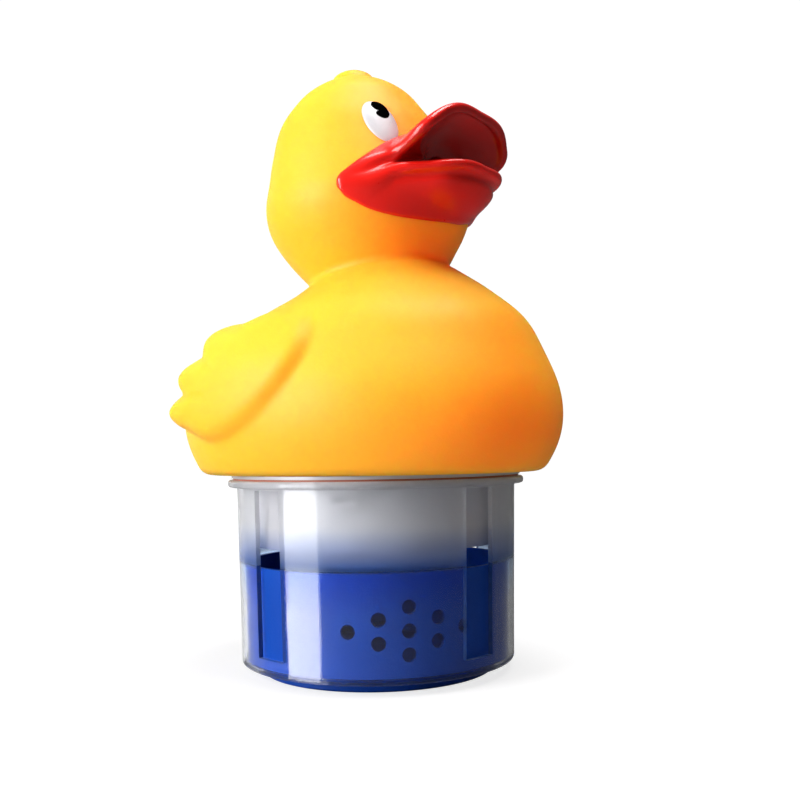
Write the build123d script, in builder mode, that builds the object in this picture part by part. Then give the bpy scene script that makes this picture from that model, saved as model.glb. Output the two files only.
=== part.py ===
from build123d import *
import os
from math import sin, cos, radians

os.makedirs("parts", exist_ok=True)

# Floating chlorine dispenser: a hollow duck float screwed to a clear lid, a clear
# slotted canister that unscrews from the lid, and a blue tablet cup turning inside it.
# Millimetres. Z up, origin at the centre of the cup's foot, duck facing +X.

# ---- canister -------------------------------------------------------------
floor_z = 3.7            # underside of the canister above the ground
floor_thick = 1.8
flange_z = 67.6          # underside of the flange
flange_thick = 2.6
flange_r = 55.3
wall_top_r = 52.0        # outside of the wall under the flange
wall_bottom_r = 50.5     # outside of the wall at the floor
wall_thick = 1.8
floor_hole_r = 43.5
edge_round = 1.0
slot_count = 4
slot_width = 13.4
slot_low_z = 9.5
slot_first_angle = -12.0

# ---- screw lugs between canister and lid ----------------------------------
lead = 60.0              # rise per full turn
ramp_span = 30.0         # degrees
ramp_low_z = 62.9        # underside of a ramp at its low end
ramp_thick = 2.0
ramp_inner_r = 47.9
lug_span = 8.0
lug_start = 1.5          # degrees past the low end of its ramp
lug_gap = 0.3
lug_outer_r = 49.5
ramp_first_angle = 18.0

# ---- tablet cup -----------------------------------------------------------
foot_r = 43.0
foot_thick = 2.6
foot_recess = 3.2        # height of the recess under the cup's floor
dish_r = 41.0            # inner radius of the lower floor
dish_z = 5.2
shoulder_z = 5.6         # shoulder that stands on the canister's floor
shoulder_thick = 2.0
cup_bottom_r = 48.2
cup_rim_r = 49.0
cup_rim_z = 40.0
cup_wall = 1.8
grip_width = 8.0
foot_round = 0.8
cluster_count = 3
cluster_angle = -43.0
hole_r = 2.45
hole_pitch_deg = 12.0
hole_pitch_z = 7.8
hole_mid_z = 21.0
cluster_columns = (1, 2, 3, 2, 1)

# ---- lid, gaskets, fixings ------------------------------------------------
seal_gap = 0.05
gasket_thick = 0.6
gasket_inner_r = 50.8
gasket_outer_r = 53.4
lid_r = 54.0
lid_top_z = 72.0
lid_core_z = 68.8        # underside of the thick middle plate
collar_r = 47.3
collar_inner_r = 44.8
collar_low_z = 46.5
shell_gasket_inner_r = 35.5
shell_gasket_outer_r = 37.5
shell_gasket_depth = 0.8
screw_ring_r = 41.0
screw_r = 1.5
screw_head_r = 3.2
screw_head_z = 66.4
screw_tip_z = 79.0
ring_inner_r = 37.5
ring_outer_r = 46.5
ring_thick = 5.5

# ---- duck shell -----------------------------------------------------------
shell_wall = 2.6
shell_opening_r = 34.0
# horizontal sections: height, centre x, half length, half width
duck_sections = (
    (72.0, -3.0, 68.0, 55.0),
    (81.0, -3.0, 73.0, 59.2),
    (93.0, -3.0, 75.5, 61.2),
    (105.0, -2.3, 72.5, 58.8),
    (117.0, -1.0, 66.0, 53.5),
    (126.0, 3.4, 56.6, 47.4),
    (134.0, 7.0, 44.8, 39.6),
    (141.0, 6.6, 34.2, 32.0),
    (148.0, 2.2, 30.6, 29.4),
    (154.0, -1.2, 32.4, 32.4),
    (160.0, -1.6, 35.8, 35.8),
    (168.0, -1.5, 38.0, 38.0),
    (178.0, -2.2, 37.8, 37.8),
    (189.0, -3.6, 35.3, 35.3),
    (200.0, -5.7, 31.6, 31.6),
    (210.0, -7.0, 27.0, 27.0),
    (217.0, -7.0, 20.8, 20.8),
    (222.0, -6.5, 12.5, 12.5),
    (224.5, -6.5, 3.0, 3.0),
)
wing_centre = (-20.5, 49.0, 103.0)
wing_half = (32.0, 15.3, 20.5)
wing_pitch = -8.0
feather_centres = ((-35.0, 47.0, 114.0), (-43.0, 46.5, 104.5), (-46.5, 46.0, 95.0))
feather_half = (15.0, 6.5, 7.0)
tail_centre = (-67.0, 0.0, 108.0)
tail_half = (16.0, 14.0, 7.0)
tail_pitch = 32.0
tuft_centre = (-8.0, 0.0, 223.0)
tuft_half = (10.0, 7.0, 5.5)

# ---- bill -----------------------------------------------------------------
corner_x = 10.0          # line through both mouth corners
corner_z = 175.0
bill_wall = 2.6
upper_half = (49.0, 29.5, 10.0)
upper_pitch = 28.0
lower_half = (44.5, 27.5, 16.5)
lower_pitch = 4.0
root_skin = 2.0          # thickness of the bill's root lying on the head
root_centre = (22.0, 0.0, 177.5)
root_half = (26.0, 39.5, 19.0)

# ---- eyes -----------------------------------------------------------------
eye_centre = (16.8, 19.8, 197.5)
eye_half = (5.6, 5.4, 7.9)
eye_lean = 18.0
pupil_centre = (17.6, 19.8, 201.0)
pupil_half = (4.2, 4.8, 3.6)


def ellipsoid(centre, half, pitch=0.0):
    ball = scale(Sphere(1.0), by=half)
    return Pos(*centre) * Rot(0, pitch, 0) * ball


def duck_body(inset, low_z, high_z):
    faces = []
    for z, x, a, b in duck_sections:
        plate = Plane.XY.offset(z) * (Pos(x, 0) * Ellipse(a - inset, b - inset))
        faces.append(plate)
    body = loft(faces)
    keep = Pos(0, 0, (low_z + high_z) / 2) * Box(300, 300, high_z - low_z)
    return body & keep


def screw_rib(inner_r, outer_r, low_z, thick, span, start):
    """One helical rib: a rectangle carried up a screw line about Z."""
    mid_r = (inner_r + outer_r) / 2
    rise = lead * span / 360
    path = Helix(pitch=lead, height=rise, radius=mid_r)
    profile = Plane.XZ * (Pos(mid_r, thick / 2) * Rectangle(outer_r - inner_r, thick))
    rib = sweep(profile, path=path, is_frenet=True)
    return Rot(0, 0, start) * Pos(0, 0, low_z) * rib


def around(count, first_angle):
    return [first_angle + 360.0 / count * i for i in range(count)]


# ---- canister: revolved wall, slots, internal ramps -----------------------
ramp = screw_rib(ramp_inner_r, wall_top_r - 1.0, ramp_low_z, ramp_thick, ramp_span, 0)
with BuildPart() as canister:
    with BuildSketch(Plane.XZ):
        with BuildLine():
            Polyline(
                (floor_hole_r, floor_z),
                (wall_bottom_r, floor_z),
                (wall_top_r, flange_z),
                (flange_r, flange_z),
                (flange_r, flange_z + flange_thick),
                (wall_top_r - wall_thick, flange_z + flange_thick),
                (wall_bottom_r - wall_thick, floor_z + floor_thick),
                (floor_hole_r, floor_z + floor_thick),
                close=True,
            )
        make_face()
    revolve(axis=Axis.Z)
    rim_edges = canister.edges().filter_by(GeomType.CIRCLE)
    fillet(rim_edges.filter_by(lambda e: e.radius > flange_r - 0.1), edge_round)
    fillet(
        canister.edges()
        .filter_by(GeomType.CIRCLE)
        .filter_by(lambda e: abs(e.radius - wall_bottom_r) < 0.01),
        edge_round,
    )
    for angle in around(slot_count, slot_first_angle):
        slot_high_z = flange_z - 0.6
        with Locations(
            Rot(0, 0, angle) * Pos(wall_top_r, 0, (slot_low_z + slot_high_z) / 2)
        ):
            Box(10, slot_width, slot_high_z - slot_low_z, mode=Mode.SUBTRACT)
    for angle in around(slot_count, ramp_first_angle):
        add(Rot(0, 0, angle) * ramp)
canister.part.label = "canister"
export_step(canister.part, "parts/canister.step")

# ---- tablet cup: tapered cup, foot ring with grip bar, hole clusters -------
with BuildPart() as tablet_cup:
    with BuildSketch(Plane.XZ):
        with BuildLine():
            Polyline(
                (foot_r - foot_thick, 0),
                (foot_r, 0),
                (foot_r, shoulder_z),
                (cup_bottom_r, shoulder_z),
                (cup_rim_r, cup_rim_z),
                (cup_rim_r - cup_wall, cup_rim_z),
                (cup_bottom_r - cup_wall, shoulder_z + shoulder_thick),
                (dish_r, shoulder_z + shoulder_thick),
                (dish_r, dish_z),
                (0, dish_z),
                (0, foot_recess),
                (foot_r - foot_thick, foot_recess),
                close=True,
            )
        make_face()
    revolve(axis=Axis.Z)
    fillet(
        tablet_cup.edges()
        .filter_by(GeomType.CIRCLE)
        .filter_by(lambda e: abs(e.radius - foot_r) < 0.01 and e.center().Z < 0.1),
        foot_round,
    )
    with Locations((0, 0, foot_recess / 2)):
        Box(2 * (foot_r - foot_thick) + 1, grip_width, foot_recess)
    for angle in around(cluster_count, cluster_angle):
        for i, rows in enumerate(cluster_columns):
            turn = angle + (i - len(cluster_columns) // 2) * hole_pitch_deg
            for j in range(rows):
                height = hole_mid_z + (j - (rows - 1) / 2) * hole_pitch_z
                with Locations(Rot(0, 0, turn) * Pos(cup_rim_r - 1, 0, height) * Rot(0, 90, 0)):
                    Cylinder(hole_r, 8, mode=Mode.SUBTRACT)
tablet_cup.part.label = "tablet_cup"
export_step(tablet_cup.part, "parts/tablet_cup.step")

# ---- flange gasket: flat ring between canister flange and lid -------------
gasket_z = flange_z + flange_thick + seal_gap
with BuildPart() as flange_gasket:
    with BuildSketch(Plane.XY.offset(gasket_z)):
        Circle(gasket_outer_r)
        Circle(gasket_inner_r, mode=Mode.SUBTRACT)
    extrude(amount=gasket_thick)
flange_gasket.part.label = "flange_gasket"
export_step(flange_gasket.part, "parts/flange_gasket.step")

# ---- lid: rim disc, thick middle plate, collar with four lugs -------------
lid_rim_z = gasket_z + gasket_thick + seal_gap
lug_low_z = ramp_low_z + lead * lug_start / 360 - lug_gap - ramp_thick
lug = screw_rib(collar_r - 1.0, lug_outer_r, lug_low_z, ramp_thick, lug_span, 0)
with BuildPart() as lid:
    with BuildSketch(Plane.XY.offset(lid_rim_z)):
        Circle(lid_r)
    extrude(amount=lid_top_z - lid_rim_z)
    with BuildSketch(Plane.XY.offset(lid_core_z)):
        Circle(collar_r)
    extrude(amount=lid_rim_z - lid_core_z)
    with BuildSketch(Plane.XY.offset(collar_low_z)):
        Circle(collar_r)
        Circle(collar_inner_r, mode=Mode.SUBTRACT)
    extrude(amount=lid_core_z - collar_low_z)
    with BuildSketch(Plane.XY.offset(lid_top_z - shell_gasket_depth)):
        Circle(shell_gasket_outer_r)
        Circle(shell_gasket_inner_r, mode=Mode.SUBTRACT)
    extrude(amount=shell_gasket_depth, mode=Mode.SUBTRACT)
    with Locations((0, 0, lid_core_z)):
        with PolarLocations(screw_ring_r, 4, start_angle=45):
            Cylinder(screw_r, 20, mode=Mode.SUBTRACT)
    for angle in around(slot_count, ramp_first_angle + lug_start):
        add(Rot(0, 0, angle) * lug)
lid.part.label = "lid"
export_step(lid.part, "parts/lid.step")

# ---- shell gasket: thin ring in the lid's top groove ----------------------
with BuildPart() as shell_gasket:
    with BuildSketch(Plane.XY.offset(lid_top_z - shell_gasket_depth)):
        Circle(shell_gasket_outer_r)
        Circle(shell_gasket_inner_r, mode=Mode.SUBTRACT)
    extrude(amount=shell_gasket_depth)
shell_gasket.part.label = "shell_gasket"
export_step(shell_gasket.part, "parts/shell_gasket.step")

# ---- clamp ring inside the shell, and the four screws from below ----------
ring_z = lid_top_z + shell_wall
with BuildPart() as clamp_ring:
    with BuildSketch(Plane.XY.offset(ring_z)):
        Circle(ring_outer_r)
        Circle(ring_inner_r, mode=Mode.SUBTRACT)
        with PolarLocations(screw_ring_r, 4, start_angle=45):
            Circle(screw_r, mode=Mode.SUBTRACT)
    extrude(amount=ring_thick)
clamp_ring.part.label = "clamp_ring"
export_step(clamp_ring.part, "parts/clamp_ring.step")

with BuildPart() as lid_screws:
    with BuildSketch(Plane.XY.offset(screw_head_z)):
        with PolarLocations(screw_ring_r, 4, start_angle=45):
            Circle(screw_head_r)
    extrude(amount=lid_core_z - screw_head_z)
    with BuildSketch(Plane.XY.offset(lid_core_z)):
        with PolarLocations(screw_ring_r, 4, start_angle=45):
            Circle(screw_r)
    extrude(amount=screw_tip_z - lid_core_z)
    with Locations((0, 0, screw_head_z)):
        with PolarLocations(screw_ring_r, 4, start_angle=45):
            Box(screw_head_r, 0.8, 1.6, mode=Mode.SUBTRACT)
            Box(0.8, screw_head_r, 1.6, mode=Mode.SUBTRACT)
lid_screws.part.label = "lid_screws"
export_step(lid_screws.part, "parts/lid_screws.step")

# ---- duck shell: lofted hollow body with wings, tail and tuft -------------
wing_parts = []
for side in (-1, 1):
    x, y, z = wing_centre
    wing_parts.append(ellipsoid((x, side * y, z), wing_half, wing_pitch))
    for fx, fy, fz in feather_centres:
        wing_parts.append(ellipsoid((fx, side * fy, fz), feather_half, 0))
tail = ellipsoid(tail_centre, tail_half, tail_pitch)
tuft = ellipsoid(tuft_centre, tuft_half, 0)
duck_solid = duck_body(0.0, lid_top_z, duck_sections[-1][0])
duck_solid = duck_solid + tail + tuft
for piece in wing_parts:
    duck_solid = duck_solid + piece
duck_hollow = duck_body(shell_wall, lid_top_z + shell_wall, duck_sections[-3][0])
with BuildPart() as duck_shell:
    add(duck_solid)
    add(duck_hollow, mode=Mode.SUBTRACT)
    with BuildSketch(Plane.XY.offset(lid_top_z)):
        Circle(shell_opening_r)
        with PolarLocations(screw_ring_r, 4, start_angle=45):
            Circle(screw_r)
    extrude(amount=shell_wall, mode=Mode.SUBTRACT)
duck_shell.part.label = "duck_shell"
export_step(duck_shell.part, "parts/duck_shell.step")

# ---- bill: root lying on the head, arched upper jaw, scooped lower jaw -----
corner = (corner_x, 0, corner_z)


def jaw(half, pitch, side):
    outer = ellipsoid(corner, half, -pitch)
    inner = ellipsoid(corner, tuple(h - bill_wall for h in half), -pitch)
    keep = Pos(*corner) * Rot(0, -pitch, 0) * Pos(40, 0, side * 40) * Box(80, 90, 80)
    return (outer & keep) - inner


head_skin = duck_body(-root_skin, 150.0, 215.0)
bill_root = head_skin & ellipsoid(root_centre, root_half, 0)
bill_solid = bill_root + jaw(upper_half, upper_pitch, 1) + jaw(lower_half, lower_pitch, -1)
bill_solid = bill_solid - duck_solid
with BuildPart() as bill:
    add(bill_solid)
bill.part.label = "bill"
export_step(bill.part, "parts/bill.step")

# ---- eyes: raised oval on the head with a raised pupil --------------------
for side, word in ((-1, "right"), (1, "left")):
    ex, ey, ez = eye_centre
    px, py, pz = pupil_centre
    oval = ellipsoid((ex, side * ey, ez), eye_half, -eye_lean)
    dot = ellipsoid((px, side * py, pz), pupil_half, -eye_lean)
    with BuildPart() as eye:
        add(oval - duck_solid - bill_solid)
    eye.part.label = "eye_" + word
    export_step(eye.part, "parts/eye_" + word + ".step")
    with BuildPart() as pupil:
        add(dot - oval - duck_solid)
    pupil.part.label = "pupil_" + word
    export_step(pupil.part, "parts/pupil_" + word + ".step")
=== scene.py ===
import math

import bpy
import numpy as np
from mathutils import Matrix, Vector


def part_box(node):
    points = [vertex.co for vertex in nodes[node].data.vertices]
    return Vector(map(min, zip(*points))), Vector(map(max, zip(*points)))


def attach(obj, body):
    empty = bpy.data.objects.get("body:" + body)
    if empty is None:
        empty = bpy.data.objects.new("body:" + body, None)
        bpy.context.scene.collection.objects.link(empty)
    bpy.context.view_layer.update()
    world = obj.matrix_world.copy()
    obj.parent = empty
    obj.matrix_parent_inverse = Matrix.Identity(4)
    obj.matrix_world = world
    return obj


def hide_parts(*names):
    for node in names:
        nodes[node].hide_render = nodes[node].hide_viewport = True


# Looks of the floating chlorine dispenser. Shapes are worked out in millimetres in
# the CAD's frame and written to meshes in metres.

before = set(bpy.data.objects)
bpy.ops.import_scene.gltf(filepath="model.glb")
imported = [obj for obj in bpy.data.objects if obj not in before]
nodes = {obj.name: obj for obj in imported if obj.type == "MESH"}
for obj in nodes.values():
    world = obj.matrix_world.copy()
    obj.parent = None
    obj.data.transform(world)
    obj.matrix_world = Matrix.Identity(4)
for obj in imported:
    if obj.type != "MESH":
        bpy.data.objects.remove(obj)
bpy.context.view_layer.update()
MM = 0.001

shell_lo, shell_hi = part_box("duck_shell")
SEAT_Z = shell_lo.z / MM                     # flat underside of the duck
LIFT = SEAT_Z - 72.0                         # heights below are written for a seat at 72 mm
CUP_RIM_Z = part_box("tablet_cup")[1].z


# ---- small mathematics ----------------------------------------------------

def natural_spline(knots, values):
    """A natural cubic through the knots, going on straight past both ends."""
    x = np.asarray(knots, float)
    y = np.asarray(values, float)
    n = len(x)
    h = np.diff(x)
    a = np.zeros((n, n))
    b = np.zeros(n)
    a[0, 0] = a[-1, -1] = 1
    for i in range(1, n - 1):
        a[i, i - 1] = h[i - 1]
        a[i, i] = 2 * (h[i - 1] + h[i])
        a[i, i + 1] = h[i]
        b[i] = 3 * ((y[i + 1] - y[i]) / h[i] - (y[i] - y[i - 1]) / h[i - 1])
    c = np.linalg.solve(a, b)
    d = np.diff(c) / (3 * h)
    s = np.diff(y) / h - h * (2 * c[:-1] + c[1:]) / 3

    def value(t, slope=False):
        u = np.clip(t, x[0], x[-1])
        i = np.clip(np.searchsorted(x, u, side="right") - 1, 0, n - 2)
        v = u - x[i]
        first = s[i] + 2 * c[i] * v + 3 * d[i] * v * v
        if slope:
            return first
        return y[i] + s[i] * v + c[i] * v * v + d[i] * v**3 + (t - u) * first

    return value


def smin(a, b, k):
    h = np.clip(0.5 + 0.5 * (b - a) / k, 0, 1)
    return b + (a - b) * h - k * h * (1 - h)


def smax(a, b, k):
    return -smin(-a, -b, k)


def ellipsoid(x, y, z, centre, half, pitch=0.0):
    """Signed distance, near enough, to an ellipsoid whose nose is pitched up."""
    c, s = math.cos(math.radians(pitch)), math.sin(math.radians(pitch))
    px = x - centre[0]
    pz = z - centre[2]
    u = (px * c + pz * s) / half[0]
    v = (y - centre[1]) / half[1]
    w = (-px * s + pz * c) / half[2]
    k0 = np.sqrt(u * u + v * v + w * w)
    k1 = np.sqrt((u / half[0]) ** 2 + (v / half[1]) ** 2 + (w / half[2]) ** 2)
    return k0 * (k0 - 1) / np.maximum(k1, 1e-6)


def smoothstep(a, b, t):
    u = np.clip((t - a) / (b - a), 0, 1)
    return u * u * (3 - 2 * u)


# ---- the duck as a distance field ----------------------------------------

BODY_SLOPE = 12.0           # least slope the body's and head's fields are divided by
JAW_SLOPE = 14.0            # the same for the jaws

# height, centre x, half length, width over length
BODY = np.array([
    (66.0, -3.4, 64.0, 0.81),
    (72.0, -3.2, 68.0, 0.81),
    (81.0, -3.0, 73.0, 0.81),
    (93.0, -3.0, 75.5, 0.81),
    (105.0, -2.3, 72.8, 0.81),
    (117.0, -0.4, 65.8, 0.81),
    (123.0, 2.4, 60.0, 0.83),
    (128.0, 4.8, 54.0, 0.85),
    (132.0, 6.6, 48.0, 0.87),
    (136.0, 8.6, 40.9, 0.90),
    (140.0, 9.4, 34.7, 0.93),
    (144.0, 9.0, 29.0, 0.96),
    (148.0, 8.0, 23.6, 0.98),
    (152.0, 6.0, 17.0, 1.0),
    (155.0, 4.5, 9.0, 1.0),
    (156.5, 4.0, 1.0, 1.0),
])
HEAD = np.array([
    (132.0, -0.5, 9.0),
    (138.0, -0.6, 17.8),
    (142.0, -0.7, 22.3),
    (145.7, -0.8, 25.8),
    (150.0, -0.9, 29.7),
    (154.7, -1.5, 32.9),
    (159.4, -1.8, 35.7),
    (164.0, -1.8, 37.7),
    (169.0, -1.6, 38.9),
    (173.5, -1.6, 39.0),
    (178.4, -2.0, 38.0),
    (183.0, -2.6, 36.8),
    (187.7, -3.4, 35.6),
    (192.4, -4.1, 34.2),
    (197.0, -4.8, 32.8),
    (201.7, -5.4, 31.1),
    (206.4, -5.9, 28.6),
    (211.0, -6.1, 25.3),
    (215.7, -6.0, 21.3),
    (219.6, -5.9, 16.2),
    (222.2, -5.9, 11.2),
    (224.2, -5.9, 4.5),
    (224.7, -5.9, 0.5),
])
body_x = natural_spline(BODY[:, 0] + LIFT, BODY[:, 1])
body_sq = natural_spline(BODY[:, 0] + LIFT, BODY[:, 2] ** 2)
body_ratio = natural_spline(BODY[:, 0] + LIFT, BODY[:, 3])
head_x = natural_spline(HEAD[:, 0] + LIFT, HEAD[:, 1])
head_sq = natural_spline(HEAD[:, 0] + LIFT, HEAD[:, 2] ** 2)


def body(x, y, z):
    dx = x - body_x(z)
    r = body_ratio(z)
    f = dx * dx + (y / r) ** 2 - body_sq(z)
    gx = 2 * dx
    gy = 2 * y / (r * r)
    gz = -2 * dx * body_x(z, True) - 2 * y * y * body_ratio(z, True) / r**3 - body_sq(z, True)
    return f / np.maximum(np.sqrt(gx * gx + gy * gy + gz * gz), BODY_SLOPE)


def head(x, y, z):
    dx = x - head_x(z)
    f = dx * dx + y * y - head_sq(z)
    gz = -2 * dx * head_x(z, True) - head_sq(z, True)
    return f / np.maximum(np.sqrt(4 * dx * dx + 4 * y * y + gz * gz), BODY_SLOPE)


def leaf(x, z, cx, cz, long, short, tilt):
    """Signed distance, near enough, to an ellipse in side view: one feather's outline."""
    c, s = math.cos(math.radians(tilt)), math.sin(math.radians(tilt))
    u = ((x - cx) * c + (z - cz) * s) / long
    v = (-(x - cx) * s + (z - cz) * c) / short
    k0 = np.sqrt(u * u + v * v)
    k1 = np.sqrt((u / long) ** 2 + (v / short) ** 2)
    return k0 * (k0 - 1) / np.maximum(k1, 1e-6)


FEATHER_GROOVE = 0.8        # depth and half width of the grooves between the feathers
GROOVE_WIDE = 2.2
WING_DEEP = 11.0            # the wing's plate goes this far into the body


def wing(x, y, z):
    zz = z - LIFT
    skin = ellipsoid(x, y, zz, (-10.0, 0.0, 97.0), (84.0, 64.0, 48.0))
    main = leaf(x, zz, -16.5, 108.0, 32.0, 21.0, 36.0)
    tip1 = leaf(x, zz, -23.0, 115.5, 21.5, 10.5, -22.0)
    tip2 = leaf(x, zz, -32.0, 105.5, 21.5, 9.5, -8.0)
    tip3 = leaf(x, zz, -37.0, 95.5, 22.0, 8.2, 2.0)
    groove = FEATHER_GROOVE * np.exp(-(((tip1 - tip2) / GROOVE_WIDE) ** 2))
    groove = groove + FEATHER_GROOVE * np.exp(-(((tip2 - tip3) / GROOVE_WIDE) ** 2))
    groove = groove * smoothstep(-20.0, -38.0, x)
    outline = smin(smin(main, tip1, 4.0), smin(tip2, tip3, 4.0), 5.0)
    plate = smax(skin + groove, outline, 9.0)
    return smax(plate, -(skin + WING_DEEP), 5.0)


def duck_bare(x, y, z):
    d = smin(body(x, y, z), wing(x, np.abs(y), z), 1.6)
    d = smin(d, head(x, y, z), 3.0)
    zz = z - LIFT
    tail = ellipsoid(x, y, zz, (-66.0, 0.0, 108.0), (15.0, 13.0, 6.5), -32.0)
    d = smin(d, tail, 9.0)
    tuft = ellipsoid(x, y, zz, (-8.0, 0.0, 223.6), (8.6, 7.8, 4.7), 0.0)
    return smin(d, tuft, 1.8)


# jaws, each in its own frame: s forward from the mouth corners, n at right angles
UPPER_PITCH = 28.0
LOWER_PITCH = 4.0
MOUTH = np.array([10.0, 0.0, 175.0])
upper_plan = natural_spline(
    (-6, 0, 9, 15, 21.6, 28.9, 32.5, 36.1, 40.5, 43.8, 46.4, 48),
    (1500, 1296, 880, 770, 720, 800, 832, 795, 565, 300, 0, -190),
)
upper_rim = natural_spline(
    (-5, 0, 12, 22, 31.8, 36, 40.5, 43.8, 46.4),
    (0, 0, -0.3, -1.2, -2.0, -1.4, 1.0, 3.0, 4.4),
)
upper_arch = natural_spline((0, 18, 25, 32, 38, 43, 46.4), (11.0, 10.8, 9.6, 8.2, 5.8, 2.6, 0.6))
lower_plan = natural_spline(
    (-6, 0, 10, 16, 22, 30, 36.3, 39.4, 41.5, 43),
    (1500, 1332, 961, 841, 740, 511, 300, 132, 0, -100),
)
lower_rim = natural_spline(
    (-4, 0, 6, 12, 17, 24, 30, 36, 41.5),
    (-2.2, -2.2, -2.3, -1.8, 0.1, 1.0, 1.0, 1.3, 1.5),
)


def jaw_frame(x, z, pitch):
    c, s = math.cos(math.radians(pitch)), math.sin(math.radians(pitch))
    px = x - MOUTH[0]
    pz = z - LIFT - MOUTH[2]
    return px * c + pz * s, -px * s + pz * c


def rim_curve(plan, rim, pitch, inset, stations):
    """Points along one side of a jaw's rim, a bead's radius inside its outline."""
    c, sn = math.cos(math.radians(pitch)), math.sin(math.radians(pitch))
    points = []
    for s in stations:
        half = max(math.sqrt(max(float(plan(np.float64(s))), 0)) - inset, 0)
        n = float(rim(np.float64(s)))
        points.append((MOUTH[0] + s * c - n * sn, half, MOUTH[2] + LIFT + s * sn + n * c))
    return points


def smooth_path(points, radii, count):
    """A finer path through the points, with its radius."""
    p = np.array(points, float)
    steps = np.concatenate([[0], np.cumsum(np.linalg.norm(np.diff(p, axis=0), axis=1))])
    at = np.linspace(0, steps[-1], count)
    columns = [natural_spline(steps, p[:, k])(at) for k in range(3)]
    return np.stack(columns, 1), natural_spline(steps, radii)(at)


def path_distance(x, y, z, path, radii):
    best = np.full(np.shape(x), 1e3)
    for p, q, rp, rq in zip(path[:-1], path[1:], radii[:-1], radii[1:]):
        d = q - p
        t = ((x - p[0]) * d[0] + (y - p[1]) * d[1] + (z - p[2]) * d[2]) / max((d * d).sum(), 1e-9)
        t = np.clip(t, 0, 1)
        r = np.sqrt((x - p[0] - t * d[0]) ** 2 + (y - p[1] - t * d[1]) ** 2 + (z - p[2] - t * d[2]) ** 2)
        best = np.minimum(best, r - rp - (rq - rp) * t)
    return best


corner_low = [(12.6, 34.0, 172.8 + LIFT), (17.0, 31.8, 172.6 + LIFT), (22.0, 29.4, 173.6 + LIFT)]
corner_top = [(13.2, 33.8, 174.6 + LIFT), (17.3, 31.4, 177.6 + LIFT), (21.0, 29.0, 180.2 + LIFT)]
low_points = corner_low + rim_curve(
    lower_plan, lower_rim, LOWER_PITCH, 2.0, (19, 24, 29, 33, 36.5, 39),
)
low_points.append((MOUTH[0] + 39.4, 0.0, MOUTH[2] + LIFT + 4.2))
top_points = corner_top + rim_curve(
    upper_plan, upper_rim, UPPER_PITCH, 1.6, (19, 24, 29, 33, 36.5, 40, 43),
)
tip_s, tip_n = 44.8, 3.7
tilt = math.radians(UPPER_PITCH)
top_points.append((
    MOUTH[0] + tip_s * math.cos(tilt) - tip_n * math.sin(tilt),
    0.0,
    MOUTH[2] + LIFT + tip_s * math.sin(tilt) + tip_n * math.cos(tilt),
))
low_path, low_radii = smooth_path(low_points, [3.4, 3.3, 2.7, 2.1, 1.7] + [1.4] * 5, 34)
top_path, top_radii = smooth_path(top_points, [2.6, 2.2, 1.9, 1.7] + [1.6] * 7, 36)


UPPER_BACK, UPPER_TIP = -5, 46.4    # the jaws' ends along s
LOWER_BACK, LOWER_TIP = -4, 41.5
ROOF_CENTRE = 34.0                  # hollow of the roof: centre along s, half length, half width, depth
ROOF_LONG = 12.0
ROOF_WIDE = 25.0
ROOF_DEEP = 7.2
LIP_GROOVE = 1.5                    # groove under the lower lip: depth, distance down, half width
LIP_DOWN = 2.9
LIP_WIDE = 1.5
LOWER_WALL = 1.5                    # half the lower jaw's wall


def plan_distance(s, y, plan):
    f = y * y - plan(s)
    return f / np.maximum(np.sqrt(4 * y * y + plan(s, True) ** 2), JAW_SLOPE)


def upper_jaw(x, y, z):
    s, n = jaw_frame(x, z, UPPER_PITCH)
    g = plan_distance(s, y, upper_plan)
    share = np.clip(1 - y * y / np.maximum(upper_plan(s), 20.0), 0, 1)
    rim = upper_rim(np.clip(s, UPPER_BACK, 47))
    top = rim + 1.2 + upper_arch(np.clip(s, 0, UPPER_TIP)) * share**0.85
    q = ((s - ROOF_CENTRE) / ROOF_LONG) ** 2 + (y / ROOF_WIDE) ** 2
    swell = 3.0 * smoothstep(27.0, 14.0, s) * np.sqrt(share)
    roof = rim - 0.9 - swell + ROOF_DEEP * np.clip(1 - q, 0, 1) ** 0.85
    plate = smax(smax(roof - n, n - top, 0.8) * 0.85, g + 1.2, 1.2)
    bead = path_distance(x, np.abs(y), z, top_path, top_radii)
    return smin(plate, bead, 1.6)


def lower_jaw(x, y, z):
    s, n = jaw_frame(x, z, LOWER_PITCH)
    rim = lower_rim(np.clip(s, LOWER_BACK, LOWER_TIP))
    down = n - rim
    ahead = s + 0.4 * np.clip(-down, 0, 20)
    f = y * y + 2.4 * down * down - lower_plan(ahead) * 0.95
    grad = np.sqrt(4 * y * y + (4.8 * down) ** 2 + 1.2 * lower_plan(ahead, True) ** 2)
    bowl = f / np.maximum(grad, JAW_SLOPE)
    groove = LIP_GROOVE * np.exp(-(((down + LIP_DOWN) / LIP_WIDE) ** 2))
    bowl = bowl + groove * smoothstep(13.0, 27.0, s)
    plate = smax(np.abs(bowl + LOWER_WALL) - LOWER_WALL, down, 1.2)
    bead = path_distance(x, np.abs(y), z, low_path, low_radii)
    return smin(plate, bead, 0.9)


def throat(x, y, z):
    """The opening behind both jaws."""
    return ellipsoid(x, y, z - LIFT, (33.0, 0.0, 183.5), (13.0, 13.0, 7.5), 16.0)


# lower edge of the red patch against the turn from straight ahead, right side negative
patch_low = natural_spline(
    (
        -71.5, -69.8, -67.7, -63.4, -58.0, -47.2, -32.7, -24.1,
        -13.9, -2.8, 11.3, 22.2, 36.0, 50.0, 62.0, 71.5,
    ),
    (
        174.5, 171.3, 168.9, 166.8, 164.8, 162.4, 161.2, 161.1,
        161.4, 162.0, 163.1, 164.9, 166.0, 166.8, 168.9, 174.5,
    ),
)


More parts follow.
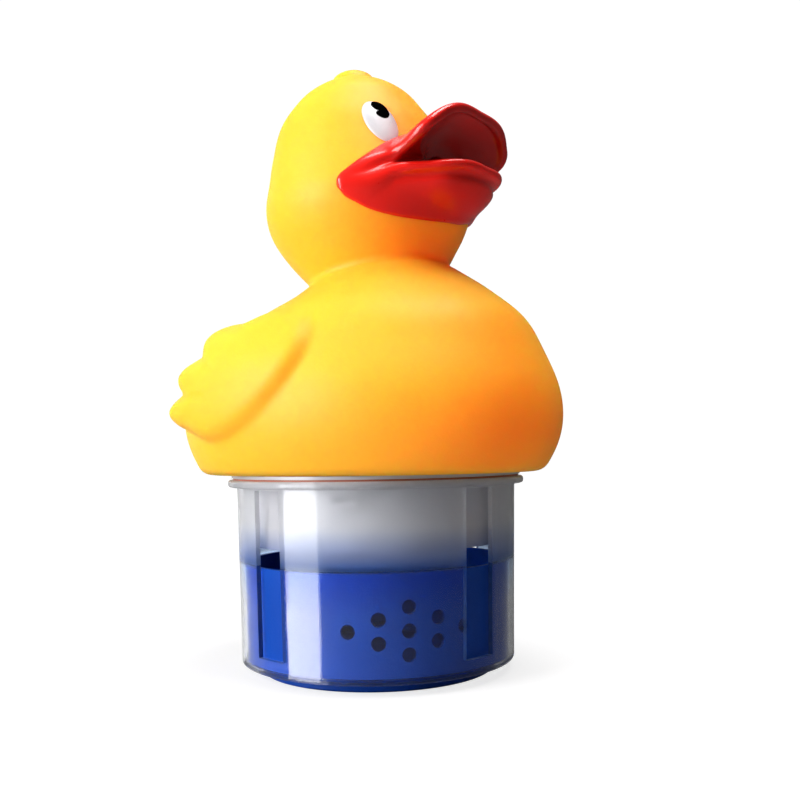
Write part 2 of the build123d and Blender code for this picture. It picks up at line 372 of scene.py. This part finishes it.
PATCH_TURN = 71.0           # the patch's corners, in degrees from straight ahead
PATCH_END = 71.5            # end of the table above
PATCH_CORNER_Z = 175.0
PATCH_RISE = 21.0           # the upper edge's height over the corners
MM_PER_PATCH = 47.0         # length round the head of PATCH_TURN degrees


def root_patch(x, y, z):
    """Negative inside the painted patch round the bill's root."""
    zz = z - LIFT
    turn = np.degrees(np.arctan2(y, x - head_x(z)))
    u = np.abs(turn) / PATCH_TURN
    top = PATCH_CORNER_Z + PATCH_RISE * (1 - np.clip(u, 0, 1) ** 2)
    low = patch_low(np.clip(turn, -PATCH_END, PATCH_END))
    return smax(np.maximum(zz - top, low - zz), (u - 1.0) * MM_PER_PATCH, 2.0)


def bill_field(x, y, z):
    """Both jaws in front of the face, and the root as a skin on the head."""
    jaws = smin(upper_jaw(x, y, z), lower_jaw(x, y, z), 0.8)
    face = head(x, y, z)
    skin = smin(face - 0.5, jaws, 5.0)
    skin = smax(skin, -throat(x, y, z), 2.5)
    patch = smax(skin, root_patch(x, y, z), 1.2)
    patch = smax(patch, -(face + 2.5), 0.5)
    lining = np.maximum(np.abs(throat(x, y, z) - 1.0) - 1.0, face + 0.3)
    patch = smin(patch, lining, 0.5)
    front = smax(jaws, -(face + 1.5), 1.0)
    return smin(front, patch, 0.8)


def duck_field(x, y, z):
    d = duck_bare(x, y, z)
    d = smax(d, -(throat(x, y, z) - 1.2), 1.0)
    return smax(d, SEAT_Z - z, 3.0)


# ---- meshes from a distance field -----------------------------------------

def surface_net(field, low, high, step, polish=3):
    """Vertices on the field's zero surface and the quads between them."""
    axes = [np.arange(a, b + step, step) for a, b in zip(low, high)]
    nx, ny, nz = (len(a) for a in axes)
    values = np.empty((nx, ny, nz), np.float32)
    gy, gz = np.meshgrid(axes[1], axes[2], indexing="ij")
    for i, x in enumerate(axes[0]):
        values[i] = field(np.full_like(gy, x), gy, gz)
    inside = values < 0
    total = np.zeros((nx - 1, ny - 1, nz - 1, 3), np.float32)
    count = np.zeros((nx - 1, ny - 1, nz - 1), np.float32)
    crossing = []
    for axis in range(3):
        a = [slice(None)] * 3
        b = [slice(None)] * 3
        a[axis] = slice(0, -1)
        b[axis] = slice(1, None)
        va, vb = values[tuple(a)], values[tuple(b)]
        cut = inside[tuple(a)] != inside[tuple(b)]
        crossing.append(cut)
        t = np.where(cut, va / np.where(cut, va - vb, 1), 0)
        others = [k for k in range(3) if k != axis]
        for da in (0, 1):
            for db in (0, 1):
                pick = [slice(None)] * 3
                pick[others[0]] = slice(da, None if da else -1)
                pick[others[1]] = slice(db, None if db else -1)
                c = cut[tuple(pick)]
                count += c
                total[..., axis] += np.where(c, t[tuple(pick)], 0)
                total[..., others[0]] += np.where(c, da, 0)
                total[..., others[1]] += np.where(c, db, 0)
    live = count > 0
    index = np.full(live.shape, -1, np.int64)
    index[live] = np.arange(live.sum())
    cells = np.argwhere(live)
    verts = (cells + total[live] / count[live][:, None]) * step + np.array(low)
    quads = []
    for axis in range(3):
        others = [k for k in range(3) if k != axis]
        cut = crossing[axis]
        pick = [slice(None)] * 3
        pick[others[0]] = slice(1, -1)
        pick[others[1]] = slice(1, -1)
        at = np.argwhere(cut[tuple(pick)])
        at[:, others[0]] += 1
        at[:, others[1]] += 1
        first_inside = inside[at[:, 0], at[:, 1], at[:, 2]]
        ring = []
        for da, db in ((0, 0), (-1, 0), (-1, -1), (0, -1)):
            cell = at.copy()
            cell[:, others[0]] += da
            cell[:, others[1]] += db
            ring.append(index[cell[:, 0], cell[:, 1], cell[:, 2]])
        q = np.stack(ring, 1)
        flip = first_inside if axis != 1 else ~first_inside
        q[~flip] = q[~flip][:, ::-1]
        quads.append(q)
    quads = np.concatenate(quads)
    quads = quads[(quads >= 0).all(1)]
    e = step * 0.25
    for _ in range(polish):
        x, y, z = verts.T
        f = field(x, y, z)
        g = np.stack([
            field(x + e, y, z) - field(x - e, y, z),
            field(x, y + e, z) - field(x, y - e, z),
            field(x, y, z + e) - field(x, y, z - e),
        ], 1) / (2 * e)
        length_sq = np.maximum((g * g).sum(1), 0.05)
        move = -(f / length_sq)[:, None] * g
        size = np.linalg.norm(move, axis=1, keepdims=True)
        verts = verts + move * np.minimum(1, 0.5 * step / np.maximum(size, 1e-9))
    return verts, quads


def make_mesh(name, verts, faces, smooth=True):
    mesh = bpy.data.meshes.new(name)
    mesh.from_pydata((np.asarray(verts) * MM).tolist(), [], [list(map(int, f)) for f in faces])
    mesh.validate()
    if smooth:
        mesh.polygons.foreach_set("use_smooth", [True] * len(mesh.polygons))
    mesh.update()
    obj = bpy.data.objects.new(name, mesh)
    bpy.context.scene.collection.objects.link(obj)
    return obj


DUCK_STEP, BILL_STEP = ((1.1, 0.7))
duck_room = (-86, -68, SEAT_Z - 3), (80, 68, SEAT_Z + 162)
bill_room = (4, -42, 152 + LIFT), (60, 42, 208 + LIFT)
verts, quads = surface_net(duck_field, *duck_room, DUCK_STEP)
# the chest would stand out of the CAD box by 0.008 mm
verts[:, 0] = np.clip(verts[:, 0], shell_lo.x / MM, shell_hi.x / MM)
duck = make_mesh("duck_body", verts, quads)
verts, quads = surface_net(bill_field, *bill_room, BILL_STEP)
bill = make_mesh("duck_bill", verts, quads)


# ---- eyes: domes laid on the head -----------------------------------------

def head_surface(origin, direction):
    """Where a ray from inside the head leaves it."""
    t = np.zeros(len(direction))
    far = np.full(len(direction), 60.0)
    for _ in range(40):
        mid = (t + far) / 2
        p = origin + direction * mid[:, None]
        out = head(p[:, 0], p[:, 1], p[:, 2]) > 0
        far = np.where(out, mid, far)
        t = np.where(out, t, mid)
    return origin + direction * t[:, None]


def dome(name, centre, across, up, tilt, height, notch=0.0, side=1, rings=14, spokes=96):
    """A closed oval dome standing on the head, seen along the outward direction at centre."""
    centre = np.array(centre, float)
    hub = np.array([float(head_x(centre[2])), 0.0, centre[2] - 3.0])
    axis = centre - hub
    axis /= np.linalg.norm(axis)
    right = np.cross(np.array([0, 0, 1.0]), axis)
    right /= np.linalg.norm(right)
    top = np.cross(axis, right)
    c, s = math.cos(math.radians(tilt)), math.sin(math.radians(tilt))
    a = right * c + top * s
    b = -right * s + top * c
    w = 2 * np.pi * np.arange(spokes) / spokes
    gap = np.arctan2(-side * s / up, side * c / across)
    off = np.angle(np.exp(1j * (w - gap)))
    reach = 1 - notch * np.exp(-((off / 0.3) ** 2))
    r = np.sin(0.5 * np.pi * np.arange(1, rings + 1) / rings)
    spread = a * (across * reach * np.cos(w))[:, None] + b * (up * reach * np.sin(w))[:, None]
    rim_points = (r[:, None, None] * spread).reshape(-1, 3)
    points = (centre - axis * 14.0) + np.concatenate([np.zeros((1, 3)), rim_points])
    skin = head_surface(points, np.tile(axis, (len(points), 1)))
    share = np.concatenate([[0.0], np.repeat(r, spokes)])
    outer = skin + axis * (height * np.sqrt(np.maximum(0, 1 - share**2.6)))[:, None]
    inner = outer[-spokes:] - axis * 1.2
    verts = np.concatenate([outer, inner, [inner.mean(0)]])
    faces = []
    edge = 1 + (rings - 1) * spokes
    for k in range(spokes):
        k2 = (k + 1) % spokes
        faces.append((0, 1 + k, 1 + k2))
        for ring in range(rings - 1):
            p = 1 + ring * spokes
            faces.append((p + k, p + spokes + k, p + spokes + k2, p + k2))
        faces.append((edge + k, edge + spokes + k, edge + spokes + k2, edge + k2))
        faces.append((edge + spokes + k, edge + 2 * spokes, edge + spokes + k2))
    return make_mesh(name, verts, faces)


EYE = np.array([19.1, 21.4, 197.3 + LIFT])
PUPIL = np.array([18.3, 20.4, 201.3 + LIFT])
eyes = {}
for side, word in ((-1, "right"), (1, "left")):
    eyes[word] = [
        dome("eye_white_" + word, EYE * (1, side, 1), 5.6, 9.3, side * -22.0, 1.2),
        dome("eye_pupil_" + word, PUPIL * (1, side, 1), 3.3, 5.0, side * -26.0, 1.6, 0.75, side, 10),
    ]

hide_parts("duck_shell")
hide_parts("bill")
for piece, slot_name in ((duck, "duck_vinyl"), (bill, "bill_red")):
    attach(piece, "float")
for word, (white, pupil) in eyes.items():
    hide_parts("eye_" + word)
    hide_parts("pupil_" + word)
    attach(white, "float")
    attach(pupil, "float")


# ---- materials ------------------------------------------------------------

def add_node(nt, kind, settings=None, **inputs):
    node = nt.nodes.new("ShaderNode" + kind)
    for key, value in (settings or {}).items():
        setattr(node, key, value)
    for key, value in inputs.items():
        by_number = key[0] == "i" and key[1:].isdigit()
        socket = node.inputs[int(key[1:]) if by_number else key.replace("_", " ")]
        if hasattr(value, "is_output"):
            nt.links.new(value, socket)
        else:
            socket.default_value = value
    return node


def calc(nt, operation, one, two):
    return add_node(nt, "Math", {"operation": operation}, i0=one, i1=two).outputs[0]


def times(nt, one, two):
    return calc(nt, "MULTIPLY", one, two)


def dot(nt, one, two):
    node = add_node(nt, "VectorMath", {"operation": "DOT_PRODUCT"}, i0=one, i1=two)
    return node.outputs["Value"]


def noise(nt, where, scale, detail=3.0, rough=0.55):
    node = add_node(nt, "TexNoise", Vector=where, Scale=scale, Detail=detail, Roughness=rough)
    return node.outputs["Fac"]


def remap(nt, value, low, high, to_low, to_high):
    node = add_node(
        nt, "MapRange", None, Value=value, From_Min=low, From_Max=high, To_Min=to_low, To_Max=to_high,
    )
    return node.outputs[0]


def blend_colour(nt, share, one, two):
    node = add_node(nt, "Mix", {"data_type": "RGBA"})
    for index, value in ((0, share), (6, one), (7, two)):
        if hasattr(value, "is_output"):
            nt.links.new(value, node.inputs[index])
        else:
            node.inputs[index].default_value = value if index == 0 else (*value, 1)
    return node.outputs[2]


# the roof of the open bill, which gets painted shade: above a plane halfway between the jaws, facing
# down
ROOF_UP = (-math.sin(math.radians(UPPER_PITCH)), 0.0, math.cos(math.radians(UPPER_PITCH)))
GAPE_PITCH = math.radians((UPPER_PITCH + LOWER_PITCH) / 2)
GAPE_UP = (-math.sin(GAPE_PITCH), 0.0, math.cos(GAPE_PITCH))
GAPE_LOW = (MOUTH[0] * GAPE_UP[0] + (MOUTH[2] + LIFT) * GAPE_UP[2]) * MM


def surface(
    name, colour, tint, worn, rough, spread=0.08, blotch=28.0, grain=900.0, bump=0.04, painted_shade_colour=None,
    **extra,
):
    """A moulded surface: cloudy colour, rubbed edges, uneven gloss and a fine grain.

    With a painted shade colour, crevices and the roof of the open bill go towards it: painted shade,
    darker where light doesn't reach.
    """
    mat = bpy.data.materials.new(name)
    mat.use_nodes = True
    nt = mat.node_tree
    shader = nt.nodes["Principled BSDF"]
    where = add_node(nt, "TexCoord").outputs["Object"]
    cloud = noise(nt, where, blotch)
    speck = noise(nt, where, blotch * 9, 5.0, 0.7)
    fine = noise(nt, where, grain, 2.0)
    base = blend_colour(nt, remap(nt, cloud, 0.35, 0.7, 0.0, 1.0), colour, tint)
    edge = add_node(nt, "NewGeometry").outputs["Pointiness"]
    rub = times(nt, remap(nt, edge, 0.52, 0.6, 0.0, 0.5), speck)
    base = blend_colour(nt, rub, base, worn)
    if painted_shade_colour:
        # painted shade: crevices found by ambient occlusion, and the downward-facing roof of the open
        # bill, go dark
        open_air = add_node(nt, "AmbientOcclusion", {"samples": 8}, Distance=0.03).outputs["AO"]
        crevice_shade = remap(nt, open_air, 0.25, 0.8, 0.7, 0.0)
        normal = add_node(nt, "TexCoord").outputs["Normal"]
        facing_down = remap(nt, dot(nt, normal, ROOF_UP), -0.1, -0.5, 0.0, 0.6)
        over_gape = remap(nt, dot(nt, where, GAPE_UP), GAPE_LOW, GAPE_LOW + 0.002, 0.0, 1.0)
        painted_shade_share = calc(nt, "MAXIMUM", crevice_shade, times(nt, facing_down, over_gape))
        base = blend_colour(nt, painted_shade_share, base, painted_shade_colour)
    nt.links.new(base, shader.inputs["Base Color"])
    mixed = times(nt, cloud, speck)
    nt.links.new(remap(nt, mixed, 0.1, 0.4, rough - spread, rough + spread), shader.inputs["Roughness"])
    lift = add_node(nt, "Bump", None, Strength=bump, Distance=0.001, Height=fine)
    nt.links.new(lift.outputs[0], shader.inputs["Normal"])
    for key, value in extra.items():
        shader.inputs[key.replace("_", " ")].default_value = value
    return mat


# colour of the painted reflection of the blue cup in the haze above its rim
PAINTED_CUP_BLUE = (0.035, 0.12, 0.44)


def clear(name, colour, haze, share, rough, painted_cup_tint=(1.0, 1.0, 1.0)):
    """Clear plastic that isn't quite clear: a little milk, frosted cut edges, and, painted by
    height, a painted reflection of the blue cup: a blue tint at the cup and a blue haze fading upwards
    from its rim."""
    mat = bpy.data.materials.new(name)
    mat.use_nodes = True
    nt = mat.node_tree
    glass = nt.nodes["Principled BSDF"]
    glass.inputs["Transmission Weight"].default_value = 1.0
    glass.inputs["IOR"].default_value = 1.2
    glass.inputs["Coat Weight"].default_value = 1.0
    glass.inputs["Coat Roughness"].default_value = 0.04
    glass.inputs["Coat IOR"].default_value = 1.35
    place = add_node(nt, "TexCoord")
    where = place.outputs["Object"]
    cloud = noise(nt, where, 22.0)
    lift = add_node(nt, "Bump", None, Strength=0.03, Distance=0.001, Height=noise(nt, where, 90.0, 2.0))
    nt.links.new(lift.outputs[0], glass.inputs["Coat Normal"])
    axis = add_node(nt, "SeparateXYZ", None, Vector=where)
    mist = remap(nt, axis.outputs["Z"], CUP_RIM_Z - 0.0005, CUP_RIM_Z + 0.003, 0.3, 1.5)
    uneven = remap(nt, cloud, 0.35, 0.65, rough * 0.85, rough * 1.15)
    nt.links.new(times(nt, uneven, mist), glass.inputs["Roughness"])
    # painted reflection: the cup's blue is painted into the wall's colour by height around its rim
    above = remap(nt, axis.outputs["Z"], CUP_RIM_Z + 0.016, CUP_RIM_Z - 0.001, 0.0, 1.0)
    below = remap(nt, axis.outputs["Z"], CUP_RIM_Z - 0.014, CUP_RIM_Z - 0.001, 0.1, 1.0)
    painted_cup_cast = times(nt, above, below)
    nt.links.new(blend_colour(nt, painted_cup_cast, colour, painted_cup_tint), glass.inputs["Base Color"])
    flat = add_node(nt, "VectorMath", {"operation": "MULTIPLY"}, i0=where, i1=(1.0, 1.0, 0.0))
    radial = add_node(nt, "VectorMath", {"operation": "NORMALIZE"}, i0=flat.outputs[0])
    facing = dot(nt, radial.outputs[0], place.outputs["Normal"])
    turned = add_node(nt, "Math", {"operation": "ABSOLUTE"}, i0=facing)
    cut = remap(nt, turned.outputs[0], 0.75, 0.3, 0.0, 0.6)
    # painted reflection of the blue cup: above its rim the haze is blue and thicker, both fading upwards
    fade = remap(nt, axis.outputs["Z"], CUP_RIM_Z + 0.002, CUP_RIM_Z + 0.014, 1.0, 0.0)
    milk = add_node(nt, "BsdfPrincipled", None, Roughness=0.3)
    nt.links.new(blend_colour(nt, fade, haze, PAINTED_CUP_BLUE), milk.inputs["Base Color"])
    cup_reflection_share = remap(nt, axis.outputs["Z"], CUP_RIM_Z - 0.0005, CUP_RIM_Z + 0.003, 0.0, 0.42)
    cup_reflection_share = times(nt, cup_reflection_share, remap(nt, axis.outputs["Z"], CUP_RIM_Z + 0.003, CUP_RIM_Z + 0.02, 1.0, 0.4))
    even = remap(nt, cloud, 0.3, 0.7, share * 0.7, share * 1.3)
    veil = calc(nt, "ADD", even, calc(nt, "MAXIMUM", cup_reflection_share, cut))
    mix = add_node(nt, "MixShader", None, Fac=veil)
    nt.links.new(glass.outputs[0], mix.inputs[1])
    nt.links.new(milk.outputs[0], mix.inputs[2])
    nt.links.new(mix.outputs[0], nt.nodes["Material Output"].inputs["Surface"])
    return mat


def assign(obj, mat):
    for slot in obj.material_slots:
        slot.material = mat
    if not obj.material_slots:
        obj.data.materials.append(mat)


yellow = surface(
    "duck_vinyl", (1.0, 0.56, 0.035), (1.0, 0.52, 0.028), (1.0, 0.64, 0.10),
    0.5, 0.06, 24.0, 1100.0, 0.05,
    Subsurface_Weight=0.7, Subsurface_Radius=(1.0, 0.3, 0.06), Subsurface_Scale=0.018,
    Specular_IOR_Level=0.25,
)
red = surface(
    "bill_red", (1.0, 0.012, 0.006), (0.96, 0.010, 0.005), (1.0, 0.04, 0.016),
    0.3, 0.04, 30.0, 700.0, 0.05,
    # painted shade: the bill's crevices and mouth roof go dark maroon
    painted_shade_colour=(0.34, 0.004, 0.003),
    Specular_IOR_Level=0.35, Coat_Weight=0.4, Coat_Roughness=0.14, Subsurface_Weight=0.2,
    Subsurface_Radius=(1.0, 0.1, 0.05), Subsurface_Scale=0.004,
)
white = surface(
    "eye_white", (0.70, 0.70, 0.72), (0.66, 0.66, 0.69), (0.74, 0.74, 0.74),
    0.3, 0.05, 120.0, 900.0, 0.04,
)
black = surface(
    "pupil_black", (0.001, 0.001, 0.001), (0.002, 0.002, 0.002), (0.006, 0.006, 0.006),
    0.3, 0.04, 150.0, Specular_IOR_Level=0.0,
)
blue = surface(
    "cup_blue", (0.004, 0.062, 0.42), (0.003, 0.052, 0.36), (0.008, 0.08, 0.48),
    0.4, 0.08, 26.0, 1300.0, 0.08, Specular_IOR_Level=0.15,
)
seal = surface(
    "seal_grey", (0.40, 0.12, 0.07), (0.34, 0.10, 0.06), (0.5, 0.2, 0.12),
    0.55, 0.1, 60.0, 1500.0, 0.1,
)
ring = surface("ring_white", (0.80, 0.80, 0.79), (0.72, 0.72, 0.71), (0.86, 0.86, 0.85), 0.4, 0.08, 40.0)
steel = surface(
    "screw_steel", (0.62, 0.62, 0.63), (0.5, 0.5, 0.52), (0.8, 0.8, 0.8), 0.3, 0.1, 200.0, 2500.0, 0.1,
    Metallic=1.0,
)
# the canister's wall carries the painted reflection of the blue cup around its rim
shell_clear = clear(
    "clear_plastic", (0.95, 0.955, 0.97), (0.80, 0.81, 0.84), 0.003, 0.34, (0.52, 0.70, 0.98),
)
lid_clear = clear("lid_clear", (0.90, 0.90, 0.92), (0.70, 0.70, 0.74), 0.45, 0.3)
assign(duck, yellow)
assign(bill, red)
for white_piece, pupil_piece in eyes.values():
    assign(white_piece, white)
    assign(pupil_piece, black)
for name, mat in (
    ("tablet_cup", blue), ("canister", shell_clear), ("lid", lid_clear), ("flange_gasket", seal),
    ("shell_gasket", seal), ("clamp_ring", ring), ("lid_screws", steel),
):
    assign(nodes[name], mat)


# ---- stage, light, camera -------------------------------------------------

floor_mesh = bpy.data.meshes.new("studio_floor")
HALF_FLOOR = 12.0
corners = [(a * HALF_FLOOR, b * HALF_FLOOR, 0) for a, b in ((-1, -1), (1, -1), (1, 1), (-1, 1))]
floor_mesh.from_pydata(corners, [], [(0, 1, 2, 3)])
floor = bpy.data.objects.new("studio_floor", floor_mesh)
bpy.context.scene.collection.objects.link(floor)
floor_look = surface(
    "studio_floor", (0.34, 0.34, 0.34), (0.33, 0.33, 0.34), (0.36, 0.36, 0.36), 0.85, 0.05, 3.0,
)
assign(floor, floor_look)
floor.visible_glossy = False
floor.visible_transmission = False
bpy.context.scene.view_settings.view_transform = "Standard"
world = bpy.data.worlds.new("studio")
bpy.context.scene.world = world
world.use_nodes = True


def add_light(nt, plain, extra, output):
    both = add_node(nt, "AddShader")
    nt.links.new(plain.outputs[0], both.inputs[0])
    nt.links.new(extra.outputs[0], both.inputs[1])
    nt.links.new(both.outputs[0], output.inputs["Surface"])
    return both


# the world: dim as a light, brighter on the left where the clear plastic shows it, white to the camera
sky = world.node_tree
soft = sky.nodes["Background"]
soft.inputs["Color"].default_value = (1.0, 0.97, 0.94, 1)
soft.inputs["Strength"].default_value = 0.035
ray = add_node(sky, "LightPath").outputs
toward = add_node(sky, "TexCoord").outputs["Generated"]
leftness = dot(sky, toward, (-0.82, -0.57, 0.0))
gradient = remap(sky, leftness, -0.7, 0.7, 0.3, 1.3)
through = times(sky, ray["Is Transmission Ray"], 0.75)
glint = times(sky, ray["Is Glossy Ray"], 0.2)
either = calc(sky, "MAXIMUM", through, glint)
room = add_node(sky, "Background", None, Strength=times(sky, either, gradient))
backdrop = add_node(sky, "Background", None, Color=(1, 1, 1, 1), Strength=ray["Is Camera Ray"])
room_light = add_light(sky, soft, room, sky.nodes["World Output"])
add_light(sky, room_light, backdrop, sky.nodes["World Output"])
tree = floor_look.node_tree
# the floor goes white to the camera with distance from the object, wherever the camera is
spot = add_node(tree, "TexCoord").outputs["Object"]
reach = add_node(tree, "VectorMath", {"operation": "LENGTH"}, i0=spot)
whiteness = remap(tree, reach.outputs["Value"], 0.25, 1.3, 0.76, 1.0)
seen = times(tree, add_node(tree, "LightPath").outputs["Is Camera Ray"], whiteness)
white_floor = add_node(tree, "Emission", None, Strength=seen)
add_light(tree, tree.nodes["Principled BSDF"], white_floor, tree.nodes["Material Output"])


def area_light(name, place, target, size_m, power, color=(1, 1, 1)):
    light = bpy.data.lights.new(name, "AREA")
    light.shape = "RECTANGLE"
    light.size, light.size_y = size_m
    light.energy = power
    light.color = color
    obj = bpy.data.objects.new(name, light)
    obj.location = place
    obj.rotation_euler = (Vector(target) - Vector(place)).to_track_quat("-Z", "Y").to_euler()
    bpy.context.scene.collection.objects.link(obj)
    return obj


area_light("strip", (-0.50, -0.98, 0.22), (0, 0, 0.10), (0.6, 1.3), 26)
area_light("top", (0.16, 0.0, 1.1), (0, 0, 0.12), (0.6, 0.6), 10.5)
behind = area_light("behind", (-1.13, 0.65, 0.25), (0, 0, 0.06), (0.9, 1.1), 1.6)
behind.visible_camera = False
# red fill on the duck alone: the deep orange in its shadows is not the vinyl's own colour
glow = area_light("vinyl_glow", (0.62, -0.5, 0.02), (0, 0, 0.13), (0.7, 0.5), 6.5, (1.0, 0.01, 0.001))
float_skin = bpy.data.collections.new("float_skin")
float_skin.objects.link(duck)
glow.light_linking.receiver_collection = float_skin

camera_data = bpy.data.cameras.new("camera")
camera_data.sensor_width = 36.0
FOCAL_PIXELS, FRAME_PIXELS = 973.3, 800
camera_data.lens = camera_data.sensor_width * FOCAL_PIXELS / FRAME_PIXELS
camera = bpy.data.objects.new("camera", camera_data)
bpy.context.scene.collection.objects.link(camera)
# found from the canister's circles in the photograph
azimuth, yaw, pitch, roll = (math.radians(v) for v in (35.0, 1.48, 2.9, 0.96))
distance = 0.370
height = 0.0805
out = Vector((math.sin(azimuth), -math.cos(azimuth), 0))
side_dir = Vector((math.cos(azimuth), math.sin(azimuth), 0))
forward = -out * math.cos(yaw) + side_dir * math.sin(yaw)
across = side_dir * math.cos(yaw) + out * math.sin(yaw)
forward = forward * math.cos(pitch) + Vector((0, 0, 1)) * math.sin(pitch)
up = across.cross(forward)
right_dir = across * math.cos(roll) - up * math.sin(roll)
up_dir = up * math.cos(roll) + across * math.sin(roll)
turn = Matrix((right_dir, up_dir, -forward)).transposed().to_4x4()
camera.matrix_world = Matrix.Translation(out * distance + Vector((0, 0, height))) @ turn
bpy.context.scene.camera = camera
